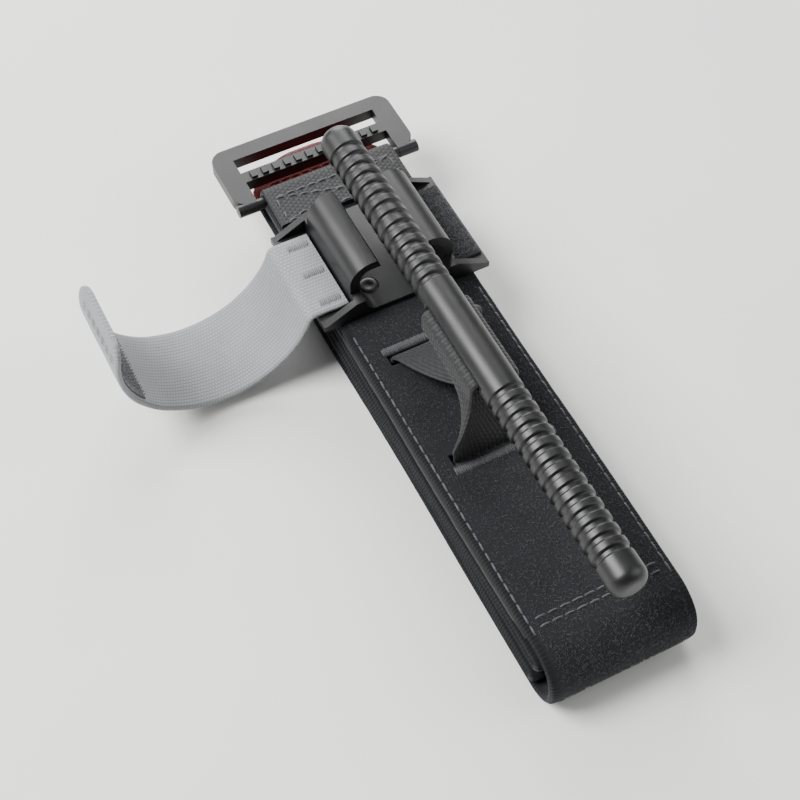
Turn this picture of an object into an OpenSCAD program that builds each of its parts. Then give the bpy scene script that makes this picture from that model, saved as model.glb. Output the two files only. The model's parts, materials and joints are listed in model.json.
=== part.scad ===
// Windlass tourniquet, folded for storage and lying on its folded band.
// Millimetres. X runs across the band, Y along it (buckle and red tip at +Y), Z up.
// The origin is on the underside of the stack, midway along the package.

/* [Band] */
// Width of the hook-and-loop band
band_w = 38; // [30:0.5:50]
// Thickness of one layer of the band
band_t = 2.4; // [1.8:0.1:3]
// Air between two layers that lie on each other
layer_gap = 0.3; // [0.3:0.1:0.6]
// Where the straight layers start at the main fold, measured back from the origin
fold_y = 70; // [66:1:90]
// Where the straight layers end at the buckle end
stack_y = 66; // [62:1:72]

/* [Plate and pocket] */
// Length of the stabilising plate
plate_len = 122; // [100:1:128]
// Thickness of the stabilising plate
plate_t = 2.8; // [2:0.1:4]
// Fabric of the pocket that holds the plate
pocket_t = 0.6; // [0.4:0.1:1]

/* [Windlass] */
// Length of the windlass rod
rod_len = 144; // [110:1:144]
// Diameter of the windlass rod over its ribs
rod_d = 9.5; // [8:0.1:12]
// Where the rod turns, along the band
windlass_y = -4; // [-10:0.5:-4]
// Spacing of the grip ribs
rib_pitch = 3.5; // [2.5:0.1:5]
// Depth of the grooves between the ribs
rib_depth = 0.6; // [0.3:0.1:1]
// Width of the inner strap
strap_w = 25; // [18:0.5:28]
// Thickness of the inner strap where it passes through the rod
strap_t = 1.4; // [1:0.1:2]

/* [Clip] */
// Where the clip sits along the band
clip_y = 43; // [40:0.5:43]
// Length of the clip along the band
clip_len = 32; // [28:1:32]
// Width of the clip's base
clip_w = 46; // [44:1:52]
// Thickness of the clip's base
clip_base_t = 1.8; // [1.5:0.1:2.5]
// Thickness of the clip's walls
clip_wall = 2.6; // [2:0.1:3]
// Thickness of the hooks over the rod
hook_t = 2.4; // [1.8:0.1:3]
// Play on each side of the rod in the mouth between the hooks
mouth_play = 0.85; // [0.4:0.05:1.5]
// How far each hook reaches out over its pocket
hook_reach = 5.9; // [4:0.1:7]

/* [Time strap] */
// Width of the strap that closes over the clip
time_w = 25; // [18:0.5:25]
// Thickness of that strap
time_t = 1.4; // [1:0.1:2]
// Air between the closed strap and the raised rod
arch_clear = 1.4; // [0.8:0.1:3]
// Air under the strap when it is laid open
floor_gap = 2.57; // [1:0.01:5]

/* [Buckle] */
// Width of the buckle's windows beyond the band
window_play = 3; // [2:0.5:6]
// Gap of the slot that takes the band
slot_gap = 5; // [4.5:0.1:6]
// Width of the buckle's side rails
rail_w = 5.5; // [4:0.1:8]
// Thickness of the buckle
buckle_t = 3.4; // [2.8:0.1:4]
// Thickness of the webbing loop round the buckle's bar
loop_t = 1.5; // [1:0.1:1.6]

/* [Tail] */
// Length of the free tab past the stack, tip included
tab_len = 22; // [18:0.5:24]
// Length of the red tip
tip_len = 14; // [10:0.5:16]

/* [Hidden] */
$fn = 64;

// Layers, counted from the bottom: four folded layers, then the tail run, plate and windlass band
pitch = band_t + layer_gap;
lower_layers = 4;
tail_z = lower_layers * pitch;
pocket_z = tail_z + pitch;
plate_z = pocket_z + pocket_t;
top_band_z = plate_z + plate_t;
top_z = top_band_z + band_t;
band_mid_z = top_band_z + band_t / 2;

// Main fold: its hinge line lies between the folded layers and the tail run
hinge_z = tail_z - layer_gap / 2;
outer_fold_r = top_z / 2;

// Rod height when seated in the clip and when raised clear of it
seat_gap = 0.8;
hook_gap = 0.4;
raise_gap = 0.5;
rod_r = rod_d / 2;
seat_z = top_z + clip_base_t + seat_gap + rod_r;
hook_under_z = seat_z + rod_r + hook_gap;
hook_top_z = hook_under_z + hook_t;
rod_z = hook_top_z + raise_gap + rod_r;

// Windlass details
hub_len = strap_w + 9;
rod_end_len = 6;
rod_slot_len = strap_w + 1;
rod_slot_h = strap_t + 0.8;
leg_clear = 0.3;
leg_x = rod_r + leg_clear;
leg_end_z = rod_z - leg_x;

// Tunnel in the windlass band, where the inner strap runs, and the slits where it comes out
tunnel_wall = 0.6;
tunnel_h = band_t - 2 * tunnel_wall;
tunnel_w = strap_w + 0.6;
run_t = tunnel_h - 0.2;
slit_y = 16;
slit_len = 3;
tunnel_start = windlass_y - plate_len / 2 + 4;
tunnel_end = clip_y - clip_len / 2 - 3;

// Clip details
mouth_half = rod_r + mouth_play;
cavity_half = mouth_half + hook_reach;
wall_half = cavity_half + clip_wall;
corner_r = 6;
low_wall_h = 6;
hook_len = clip_len - 7;
mouth_flare = 1.6;
gusset_t = 1.8;
rivet_r = 1.5;
rivet_head_r = 2.6;
rivet_head_t = 0.8;
rivet_x = 7.5;
rivet_y = 9;
rivet_play = 0.05;

// Time strap: its arch clears the clip's base and the raised rod, and opens to just above the floor
strap_gap = 0.3;
time_hinge_z = top_z + clip_base_t + time_t / 2;
rod_reach = norm([rod_z + rod_r - time_hinge_z, rod_r]);
arch_r = max(clip_w / 2 + 2, rod_reach + time_t / 2 + arch_clear);
open_angle = 180 - asin((arch_r + time_t / 2 + floor_gap - time_hinge_z) / arch_r);
time_leg = 3;
label_t = 0.4;
hook_patch_t = 0.8;
patch_t = 1;

// Buckle details
window_w = band_w + window_play;
bar_r = 1.5;
bar_play = 0.2;
loop_in_r = bar_r + bar_play;
loop_r = loop_in_r + loop_t;
bar_y = stack_y + 7;
hem_start = stack_y - 5;
web_window = 5.5;
cross_bar = 3.5;
front_bar = 4.5;
slot_start = bar_r + web_window + cross_bar;
buckle_end = slot_start + slot_gap + front_bar;
buckle_corner = 4;

// Tail details
tab_y = stack_y + band_t + layer_gap + 0.3;
flex_gap = 0.6;
tip_skin = 0.6;
tip_play = 0.05;
tip_lap = 6;
nose_inset = 0.4;
tail_mid_z = tail_z + band_t / 2;

// Thread
thread_w = 0.7;
thread_t = 0.3;
stitch_len = 2.6;
stitch_pitch = 4;

// A profile drawn in the plane of the folds, as wide as given across X
module across(width) {
    rotate([90, 0, 90]) linear_extrude(width, center = true) children();
}

// A profile drawn in the plane across the band, as long as given along Y
module along(length) {
    rotate([90, 0, 0]) linear_extrude(length, center = true) children();
}

// A box held by its middle in X and its low corner in Y and Z
module slab(width, y0, y1, z0, height) {
    translate([-width / 2, y0, z0]) cube([width, y1 - y0, height]);
}

// Half of a flat ring, opening towards -Y (side 1) or +Y (side -1)
module half_ring(outer, inner, side) {
    difference() {
        circle(outer);
        circle(inner);
        translate([side > 0 ? -2 * outer : 0, -2 * outer]) square([2 * outer, 4 * outer]);
    }
}

// Bend that joins two neighbouring layers, at the height between them
module layer_bend(y, z, side) {
    translate([y, z]) half_ring(pitch - layer_gap / 2, layer_gap / 2, side);
}

// Rectangle with round corners, held by its middle
module round_rect(size_x, size_y, radius) {
    square([size_x - 2 * radius, size_y], center = true);
    square([size_x, size_y - 2 * radius], center = true);
    for (x = [-1, 1], y = [-1, 1])
        translate([x * (size_x / 2 - radius), y * (size_y / 2 - radius)]) circle(radius);
}

// A row of stitches along Y, lying on a surface at height z
module stitch_row(x, y0, y1, z) {
    count = floor((y1 - y0 + stitch_pitch - stitch_len) / stitch_pitch);
    for (i = [0 : count - 1])
        translate([x - thread_w / 2, y0 + i * stitch_pitch, z])
            cube([thread_w, stitch_len, thread_t]);
}

// A row of stitches along X, lying on a surface at height z
module cross_row(y, half, z) {
    count = floor((2 * half + stitch_pitch - stitch_len) / stitch_pitch);
    start = -(count * stitch_pitch - stitch_pitch + stitch_len) / 2;
    for (i = [0 : count - 1])
        translate([start + i * stitch_pitch, y - thread_w / 2, z])
            cube([stitch_len, thread_w, thread_t]);
}

// Bar tack: one thick bar of close stitches, running along X
module bar_tack(x, y, z, length) {
    translate([x - length / 2, y - 1, z]) cube([length, 2, thread_t + 0.2]);
}

// Four layers of the band, folded to and fro, that carry the rest
module folded_band() {
    color("#17181a") across(band_w) {
        for (i = [0 : lower_layers - 1])
            translate([-fold_y, i * pitch]) square([fold_y + stack_y, band_t]);
        layer_bend(stack_y, pitch - layer_gap / 2, 1);
        layer_bend(-fold_y, 2 * pitch - layer_gap / 2, -1);
        layer_bend(stack_y, 3 * pitch - layer_gap / 2, 1);
    }
}

// Outer bend of the main fold, from the bottom layer up to the windlass band
module outer_fold() {
    color("#17181a") across(band_w)
        translate([-fold_y, outer_fold_r])
            half_ring(outer_fold_r, outer_fold_r - band_t, -1);
}

// Inner bend of the main fold, from the folded layers up to the tail run
module inner_fold() {
    color("#17181a") across(band_w) layer_bend(-fold_y, hinge_z, -1);
}

// Top layer, a flat tube: the inner strap runs in its tunnel and comes out at two slits
module windlass_band() {
    color("#1b1c1e") difference() {
        union() {
            slab(band_w, -fold_y, hem_start, top_band_z, band_t);
            slab(band_w, hem_start, bar_y - loop_in_r - 0.4, band_mid_z - loop_in_r, 2 * loop_in_r);
        }
        slab(tunnel_w, tunnel_start, tunnel_end, top_band_z + tunnel_wall, tunnel_h);
        for (side = [-1, 1])
            slab(tunnel_w, windlass_y + side * slit_y - slit_len / 2,
                 windlass_y + side * slit_y + slit_len / 2, top_band_z + tunnel_wall, band_t);
        rivet_holes(top_band_z - 1, band_t + 2);
    }
}

// Last run of the band, on its way to the free tip
module tail_band() {
    color("#17181a") slab(band_w, -fold_y, tab_y - flex_gap, tail_z, band_t);
}

// Lines of thread along both edges of the top layer
module band_edge_stitching() {
    color("#2a2b2e") for (side = [-1, 1]) {
        stitch_row(side * (band_w / 2 - 1.6), -fold_y + 2, clip_y - clip_len / 2 - 1, top_z);
        cross_row(windlass_y - plate_len / 2 - 1.5, band_w / 2 - 4, top_z);
    }
}

// Stiff moulded plate under the windlass, with rounded ends and grooves along it
module stabilising_plate() {
    plate_w = band_w - 2 * pocket_t - 1;
    color("#232427") difference() {
        translate([0, windlass_y, plate_z])
            linear_extrude(plate_t) round_rect(plate_w, plate_len, 8);
        for (x = [-10, 0, 10])
            translate([x, windlass_y, plate_z])
                linear_extrude(0.8) round_rect(3, plate_len - 30, 1.4);
        rivet_holes(plate_z - 1, plate_t + 2);
    }
}

// Shallow fabric tray sewn under the band, with the plate inside
module plate_pocket() {
    half = plate_len / 2 + 0.6;
    low = windlass_y - half;
    high = windlass_y + half;
    color("#141517") difference() {
        slab(band_w, low - pocket_t, high + pocket_t, pocket_z, pocket_t + plate_t);
        slab(band_w - 2 * pocket_t, low, high, plate_z, plate_t + 1);
    }
}

// Inner strap, inside the tunnel of the windlass band
module inner_strap() {
    color("#101113")
        slab(strap_w, tunnel_start + 0.3, tunnel_end - 0.3,
             top_band_z + tunnel_wall, run_t);
}

// Bar tacks beyond the slits, which stop the fabric from tearing
module slit_bar_tacks() {
    color("#2a2b2e") for (side = [-1, 1])
        bar_tack(0, windlass_y + side * (slit_y + slit_len), top_z, strap_w + 2);
}

// Shanks of the rivets, as holes through whatever they hold together
module rivet_holes(z, height) {
    for (x = [-rivet_x, rivet_x], y = [-rivet_y, rivet_y])
        translate([x, clip_y + y, z]) cylinder(r = rivet_r + rivet_play, h = height);
}

// Outline of the clip across the band: base, side walls and the two hooks with their mouth
module clip_outline() {
    height = hook_top_z - top_z;
    cavity_top = hook_under_z - top_z;
    inner_r = corner_r - clip_wall;
    difference() {
        union() {
            translate([0, height / 2]) round_rect(2 * wall_half, height, corner_r);
            translate([-wall_half, 0]) square([2 * wall_half, height / 2]);
        }
        translate([0, (clip_base_t + cavity_top) / 2])
            round_rect(2 * cavity_half, cavity_top - clip_base_t, inner_r);
        polygon([
            [-mouth_half, cavity_top - 1], [mouth_half, cavity_top - 1],
            [mouth_half, cavity_top], [mouth_half + mouth_flare, height + 1],
            [-mouth_half - mouth_flare, height + 1], [-mouth_half, cavity_top]
        ]);
    }
    translate([-clip_w / 2, 0]) square([clip_w, clip_base_t]);
}

// Moulded clip: the rod drops in between the hooks, then turns under one of them
module windlass_clip() {
    step = (clip_len - hook_len) / 2;
    tall = hook_top_z - top_z;
    color("#202124") difference() {
        union() {
            translate([0, clip_y, top_z]) along(clip_len) clip_outline();
            for (side = [-1, 1], x = [0, 1])
                translate([0, clip_y + side * (clip_len / 2 - gusset_t / 2), top_z])
                    mirror([x, 0, 0]) along(gusset_t) polygon([
                        [wall_half - 1, 0.5], [clip_w / 2 - 1, clip_base_t],
                        [wall_half, low_wall_h], [wall_half - 1, low_wall_h]
                    ]);
        }
        for (side = [-1, 1])
            translate([-clip_w / 2, clip_y + side * (clip_len / 2 - step / 2) - step / 2 - 0.01,
                       top_z + low_wall_h])
                cube([clip_w, step + 0.02, tall]);
        rivet_holes(top_z - 1, clip_base_t + 2);
        for (x = [-rivet_x, rivet_x], y = [-rivet_y, rivet_y])
            translate([x, clip_y + y, top_z + clip_base_t - rivet_head_t])
                cylinder(r = rivet_head_r + rivet_play, h = 2);
    }
}

// Rivets through clip, band and plate, with their heads sunk in the clip's floor
module clip_rivets() {
    color("#2c2d30") for (x = [-rivet_x, rivet_x], y = [-rivet_y, rivet_y])
        translate([x, clip_y + y, 0]) {
            translate([0, 0, plate_z + 0.3])
                cylinder(r = rivet_r, h = top_z + clip_base_t - plate_z - 0.3);
            translate([0, 0, top_z + clip_base_t - rivet_head_t])
                cylinder(r = rivet_head_r, h = rivet_head_t);
        }
}

// Loop patch on the clip's far flange, where the closed strap lands
module landing_patch() {
    x0 = wall_half + 0.6;
    color("#26272a") translate([x0, clip_y - time_w / 2, top_z + clip_base_t])
        cube([clip_w / 2 - 0.4 - x0, time_w, patch_t]);
}

// Sewn end of the time strap on the clip's near flange
module time_strap_base() {
    x0 = arch_r - time_t / 2 - strap_gap;
    x1 = wall_half + 0.6;
    color("#8f9294") translate([-x0, clip_y - time_w / 2, top_z + clip_base_t])
        cube([x0 - x1, time_w, time_t]);
}

// Bar tacks that hold that end down
module base_bar_tacks() {
    z = top_z + clip_base_t + time_t;
    color("#6e7073") for (y = [-time_w / 2 + 3, 0, time_w / 2 - 3])
        bar_tack(-(wall_half + clip_w / 2) / 2, clip_y + y, z, 5);
}

// Webbing folded round the buckle's bar and sewn above and below the band's end
module buckle_loop() {
    color("#1b1c1e") across(band_w) difference() {
        union() {
            translate([bar_y, band_mid_z]) circle(loop_r);
            translate([hem_start + 0.3, band_mid_z - loop_r])
                square([bar_y - hem_start - 0.3, 2 * loop_r]);
        }
        translate([bar_y, band_mid_z]) circle(loop_in_r);
        translate([hem_start, band_mid_z - loop_in_r])
            square([bar_y - hem_start, 2 * loop_in_r]);
    }
}

// Box of stitches through the loop and the band's end
module buckle_box_stitch() {
    z = band_mid_z + loop_r;
    half = band_w / 2 - 3;
    color("#2e2f33") {
        for (side = [-1, 1]) stitch_row(side * half, hem_start + 2, bar_y - 3, z);
        cross_row(hem_start + 1.2, half - 2, z);
        cross_row(bar_y - 2.2, half - 2, z);
    }
}

// The two legs of the inner strap between the slits and the rod
module inner_strap_legs() {
    color("#101113") for (side = [-1, 1])
        translate([side * (leg_x + strap_t / 2) - strap_t / 2, windlass_y - strap_w / 2,
                   top_z + 0.25])
            cube([strap_t, strap_w, leg_end_z - top_z - 0.25]);
}

// Half of the rod's outline, from the middle out: smooth hub, ribbed grip, rounded end
function grip_points(start, count) = [
    for (i = [0 : count - 1], p = [
        [rod_r, start + i * rib_pitch],
        [rod_r - rib_depth, start + (i + 0.15) * rib_pitch],
        [rod_r - rib_depth, start + (i + 0.45) * rib_pitch],
        [rod_r, start + (i + 0.6) * rib_pitch]
    ]) p
];

// Ribbed windlass rod with the strap's slot through its hub
module windlass_rod() {
    grip = rod_len / 2 - rod_end_len - hub_len / 2;
    outline = concat(
        [[0, 0], [rod_r, 0]],
        grip_points(hub_len / 2, floor(grip / rib_pitch)),
        [[rod_r, rod_len / 2 - rod_end_len], [rod_r - 0.7, rod_len / 2 - 2],
         [rod_r - 2.2, rod_len / 2], [0, rod_len / 2]]
    );
    color("#202124") translate([0, windlass_y, rod_z]) difference() {
        for (side = [-1, 1]) rotate([side * 90, 0, 0]) rotate_extrude() polygon(outline);
        translate([-rod_d, -rod_slot_len / 2, -rod_slot_h / 2])
            cube([2 * rod_d, rod_slot_len, rod_slot_h]);
    }
}

// Inner strap where it passes through the rod and turns down on both sides
module inner_strap_loop() {
    half = leg_x + strap_t;
    color("#101113") translate([0, windlass_y, rod_z]) {
        translate([-half, -strap_w / 2, -strap_t / 2]) cube([2 * half, strap_w, strap_t]);
        for (side = [-1, 1])
            translate([side * (leg_x + strap_t / 2) - strap_t / 2, -strap_w / 2, -leg_x])
                cube([strap_t, strap_w, leg_x]);
    }
}

// Turns what is drawn closed over the clip about the strap's hinge line, to lie open
module laid_open() {
    translate([-arch_r, clip_y, time_hinge_z]) rotate([0, -open_angle, 0])
        translate([arch_r, 0, 0]) children();
}

// Part of the arch between two radii and two angles, counted from the closed end
module arch_sector(outer, inner, from, to) {
    reach = 3 * outer;
    mid = (from + to) / 2;
    intersection() {
        difference() {
            circle(outer);
            circle(inner);
        }
        polygon([
            [0, 0], reach * [cos(from), sin(from)],
            reach * [cos(mid), sin(mid)], reach * [cos(to), sin(to)]
        ]);
    }
}

// Security strap that closes over the clip: a stiff arch with a short straight end
module time_strap() {
    color("#9a9da0") laid_open() along(time_w) {
        half_arch_up(arch_r + time_t / 2, arch_r - time_t / 2);
        translate([arch_r - time_t / 2, -time_leg]) square([time_t, time_leg]);
    }
}

// Upper half of a ring
module half_arch_up(outer, inner) {
    difference() {
        circle(outer);
        circle(inner);
        translate([-2 * outer, -2 * outer]) square([4 * outer, 2 * outer]);
    }
}

// Blank write-on label on the outside of the arch
module time_label() {
    color("#d9dad6") laid_open() along(time_w - 4)
        arch_sector(arch_r + time_t / 2 + label_t, arch_r + time_t / 2, 62, 118);
}

// Hook patch inside the free end
module strap_hook_patch() {
    color("#3a3b3e") laid_open() along(time_w - 3)
        arch_sector(arch_r - time_t / 2, arch_r - time_t / 2 - hook_patch_t, 4, 50);
}

// Thread across the strap, above the patch and at the hem of the free end
module strap_hem_stitch() {
    outer = arch_r + time_t / 2;
    color("#77797c") laid_open() for (a = [6, 48], y = [-8, -4, 0, 4, 8])
        translate([0, y, 0]) along(stitch_len)
            arch_sector(outer + thread_t, outer, a, a + 1.6);
}

// Moulded buckle: round bar for the loop, toothed cross bar, and the slot for the band
module buckle() {
    outer_w = window_w + 2 * rail_w;
    tooth = 0.6;
    color("#202124") translate([0, bar_y, band_mid_z]) {
        difference() {
            translate([0, buckle_end / 2, -buckle_t / 2]) linear_extrude(buckle_t)
                round_rect(outer_w, buckle_end, buckle_corner);
            slab(window_w, -1, bar_r + web_window, -buckle_t, 2 * buckle_t);
            slab(window_w, slot_start, slot_start + slot_gap, -buckle_t, 2 * buckle_t);
        }
        rotate([0, 90, 0]) cylinder(r = bar_r, h = window_w + 2, center = true);
        for (x = [-1, 1])
            translate([x * (window_w / 2 + rail_w / 2), 0, 0]) rotate([0, 90, 0])
                cylinder(r = buckle_t / 2, h = rail_w, center = true);
        for (i = [0 : 11])
            translate([(i - 5.5) * 3.2 - 0.8, slot_start - cross_bar + 0.6, buckle_t / 2 - 0.1])
                cube([1.6, cross_bar - 1.2, tooth + 0.1]);
    }
}

// Plan of the free end between two places along Y, with its round nose drawn in by inset
module nosed_plan(y0, y1, inset) {
    nose_r = band_w * 0.62;
    intersection() {
        translate([-band_w / 2, y0]) square([band_w, y1 - y0]);
        translate([0, tab_y + tab_len - nose_r]) circle(nose_r - inset);
    }
}

// Free end of the band past the stack, to pull on
module tail_tab() {
    color("#17181a") translate([0, 0, tail_z]) linear_extrude(band_t)
        nosed_plan(tab_y, tab_y + tab_len - tip_len + tip_lap, nose_inset);
}

// Red tip over the end of the tab, with a round nose
module red_tip() {
    y0 = tab_y + tab_len - tip_len;
    thick = band_t + 2 * tip_play + 2 * tip_skin;
    color("#b3191d") difference() {
        translate([0, 0, tail_mid_z - thick / 2]) linear_extrude(thick)
            nosed_plan(y0, y0 + tip_len, 0);
        slab(band_w + 1, y0 - 1, y0 + tip_lap + 0.1, tail_mid_z - band_t / 2 - tip_play,
             band_t + 2 * tip_play);
    }
}

// Thread that holds the tip on the tab
module tip_stitching() {
    z = tail_mid_z + band_t / 2 + tip_play + tip_skin;
    color("#7c1215") for (y = [2, 4.4])
        cross_row(tab_y + tab_len - tip_len + y, band_w / 2 - 4, z);
}

folded_band();
outer_fold();
inner_fold();
windlass_band();
tail_band();
band_edge_stitching();
stabilising_plate();
plate_pocket();
inner_strap();
slit_bar_tacks();
windlass_clip();
clip_rivets();
landing_patch();
time_strap_base();
base_bar_tacks();
buckle_loop();
buckle_box_stitch();
inner_strap_legs();
windlass_rod();
inner_strap_loop();
time_strap();
time_label();
strap_hook_patch();
strap_hem_stitch();
buckle();
tail_tab();
red_tip();
tip_stitching();
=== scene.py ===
import json
import math
import random

import bmesh
import bpy
import numpy as np
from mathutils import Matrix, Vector, noise


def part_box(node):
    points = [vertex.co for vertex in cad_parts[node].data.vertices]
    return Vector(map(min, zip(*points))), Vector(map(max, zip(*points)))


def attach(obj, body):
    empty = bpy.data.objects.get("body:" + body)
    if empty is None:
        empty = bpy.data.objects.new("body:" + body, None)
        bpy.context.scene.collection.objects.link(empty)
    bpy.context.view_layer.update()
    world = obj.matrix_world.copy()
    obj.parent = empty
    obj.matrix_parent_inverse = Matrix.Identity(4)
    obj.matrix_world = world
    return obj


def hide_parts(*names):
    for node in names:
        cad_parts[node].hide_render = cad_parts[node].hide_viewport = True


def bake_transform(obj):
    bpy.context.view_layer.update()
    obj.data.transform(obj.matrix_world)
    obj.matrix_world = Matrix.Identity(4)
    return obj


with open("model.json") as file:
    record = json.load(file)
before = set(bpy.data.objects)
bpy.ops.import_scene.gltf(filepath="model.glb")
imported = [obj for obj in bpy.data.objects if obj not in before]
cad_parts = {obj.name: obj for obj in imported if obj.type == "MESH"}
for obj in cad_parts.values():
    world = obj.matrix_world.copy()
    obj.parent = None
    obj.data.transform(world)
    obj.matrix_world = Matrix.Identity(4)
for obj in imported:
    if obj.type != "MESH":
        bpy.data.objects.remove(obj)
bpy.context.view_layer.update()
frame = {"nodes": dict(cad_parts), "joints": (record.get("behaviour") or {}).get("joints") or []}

# ---------------------------------------------------------------------------------------
# Folded layers: the long run of the band, folded to and fro in four layers that lie loosely
# on each other. The band is 38 mm of brushed nylon with a woven edge, folded by hand, so its
# edges wander a little and its bends are soft.

MM = 0.001


def span(cad_node):
    """Lowest and highest corner of a CAD node, in millimetres."""
    lo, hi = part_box(cad_node)
    return np.array(lo) / MM, np.array(hi) / MM


folded_lo, folded_hi = span("folded_band")
tail_lo, tail_hi = span("tail_band")
inner_lo, inner_hi = span("inner_fold")
outer_lo, outer_hi = span("outer_fold")

band_w = folded_hi[0] - folded_lo[0]
band_t = tail_hi[2] - tail_lo[2]
layer_pitch = inner_hi[2] - inner_lo[2] - band_t
layer_gap = layer_pitch - band_t
fold_y = outer_hi[1]
bend_out_r = layer_pitch - layer_gap / 2
stack_y = folded_hi[1] - bend_out_r
bend_r = layer_pitch / 2


def trace(start, heading, moves, step=1.0):
    """Points and headings of a line made of runs (length,) and turns (radius, degrees)."""
    points, headings = [np.array(start, float)], [math.radians(heading)]
    for move in moves:
        radius, turn = move if len(move) == 2 else (0, 0)
        parts = max(8, round(abs(turn) / 10)) if turn else max(1, round(move[0] / step))
        bend = math.radians(turn) / parts
        length = 2 * radius * math.sin(abs(bend) / 2) if turn else move[0] / parts
        for _ in range(parts):
            way = headings[-1] + bend / 2
            points.append(points[-1] + length * np.array([math.cos(way), math.sin(way)]))
            headings.append(headings[-1] + bend)
    return points, headings


def along_band(line):
    """Stations of a strap whose line lies in the plane of the folds: point, across, out."""
    return [(np.array([0, p[0], p[1]]), np.array([1.0, 0, 0]),
             np.array([0, -math.sin(a), math.cos(a)])) for p, a in zip(*line)]


def build(name, points, faces, finish, uv=None, sharp=40):
    """A closed mesh from points in millimetres, faces outward, smooth up to the sharp angle."""
    mesh = bpy.data.meshes.new(name)
    mesh.from_pydata((np.array(points) * MM).tolist(), [], faces)
    if uv is not None:
        layer = mesh.uv_layers.new(name="strap")
        corners = np.zeros(len(mesh.loops), int)
        mesh.loops.foreach_get("vertex_index", corners)
        layer.data.foreach_set("uv", (np.array(uv)[corners] * MM).ravel())
    solid = bmesh.new()
    solid.from_mesh(mesh)
    bmesh.ops.recalc_face_normals(solid, faces=solid.faces)
    for face in solid.faces:
        face.smooth = True
    for edge in solid.edges:
        edge.smooth = edge.calc_face_angle(0) < math.radians(sharp)
    solid.to_mesh(mesh)
    solid.free()
    mesh.materials.append(finish)
    piece = bpy.data.objects.new(name, mesh)
    bpy.context.scene.collection.objects.link(piece)
    return piece


def skin(name, points, ring, finish, uv=None):
    """Closes rings of points, ring points each, into a solid piece with two flat ends."""
    rings = len(points) // ring
    faces = [(i * ring + k, i * ring + (k + 1) % ring,
              (i + 1) * ring + (k + 1) % ring, (i + 1) * ring + k)
             for i in range(rings - 1) for k in range(ring)]
    faces += [tuple(range(ring))[::-1], tuple((rings - 1) * ring + k for k in range(ring))]
    return build(name, points, faces, finish, uv)


def ribbon(name, stations, width, thick, finish, wave=0.06, drift=0.0, seed=1, cuts=16,
           taper=None):
    """A flat strap with woven round edges, swept along its stations. It ripples by wave,
    and its edges drift sideways between its two ends, both in millimetres."""
    radius = thick / 2
    flat = np.linspace(-width / 2 + radius, width / 2 - radius, cuts + 1)
    turn = np.radians(np.arange(30, 180, 30))
    right = [(width / 2 - radius + radius * math.sin(t), radius * math.cos(t),
              width / 2 - radius + radius * min(t, math.pi - t)) for t in turn]
    outline = ([(a, radius, a) for a in flat] + right + [(a, -radius, a) for a in flat[::-1]]
               + [(-a, -b, -u) for a, b, u in right])
    points, uv, way = [], [], 0.0
    steps = [np.linalg.norm(b[0] - a[0]) for a, b in zip(stations, stations[1:])] + [0]
    total = sum(steps)
    for (place, across, out), step in zip(stations, steps):
        window = math.sin(math.pi * way / total) if total else 0
        side = drift * window * noise.noise(Vector((way / 70, seed, 0.3)))
        for a, b, u in outline:
            edge = abs(a) / (width / 2)
            lift = wave * min(1, 4 * window) * noise.noise(Vector((way / 16, a / 11, seed)))
            fray = 0.16 * edge ** 4 * noise.noise(Vector((way / 5, math.copysign(3, a), seed)))
            narrow = taper(way, total) if taper else 1
            points.append(place + across * (a * narrow + side + fray * window)
                          + out * (b + lift))
            uv.append((u, way))
        way += step
    return skin(name, points, len(outline), finish, uv)


def linear(hexcode):
    """An sRGB hex colour as linear light."""
    parts = [int(hexcode[i:i + 2], 16) / 255 for i in (1, 3, 5)]
    return [c / 12.92 if c <= 0.04045 else ((c + 0.055) / 1.055) ** 2.4 for c in parts] + [1]


def add(tree, kind, inputs=(), **settings):
    """Adds a node. Its settings are attributes. Its inputs, by name or in order, are values,
    or sockets or nodes to link; a node gives the first output that it has in use."""
    made = tree.nodes.new(kind)
    for key, value in settings.items():
        setattr(made, key, value)
    for key, value in inputs.items() if isinstance(inputs, dict) else enumerate(inputs):
        if isinstance(value, bpy.types.Node):
            value = next(s for s in value.outputs if s.enabled)
        if isinstance(value, bpy.types.NodeSocket):
            tree.links.new(value, made.inputs[key])
        else:
            made.inputs[key].default_value = value
    return made


def new_finish(name):
    """An empty material and its node tree."""
    finish = bpy.data.materials.new(name)
    finish.use_nodes = True
    finish.node_tree.nodes.clear()
    return finish, finish.node_tree


MATH, NOISE, MIX = "ShaderNodeMath", "ShaderNodeTexNoise", "ShaderNodeMix"


def surface(finish, tone, rough, relief, constants):
    """Closes a finish. tone is a share and the two colours it mixes; relief is a height, how
    strong it shows, and its depth in mm; constants go straight on the shader."""
    tree = finish.node_tree
    share, *colours = tone
    dark, light = (linear(c) if isinstance(c, str) else c for c in colours)
    tone = add(tree, MIX, {"Factor": share, "A": dark, "B": light}, data_type="RGBA")
    height, strength, depth = relief
    bump = add(tree, "ShaderNodeBump", {"Strength": strength, "Distance": depth * MM,
                                        "Height": height})
    shader = add(tree, "ShaderNodeBsdfPrincipled", {"Base Color": tone, "Roughness": rough,
                                                    "Normal": bump, **constants})
    add(tree, "ShaderNodeOutputMaterial", {"Surface": shader})
    return finish


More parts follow.
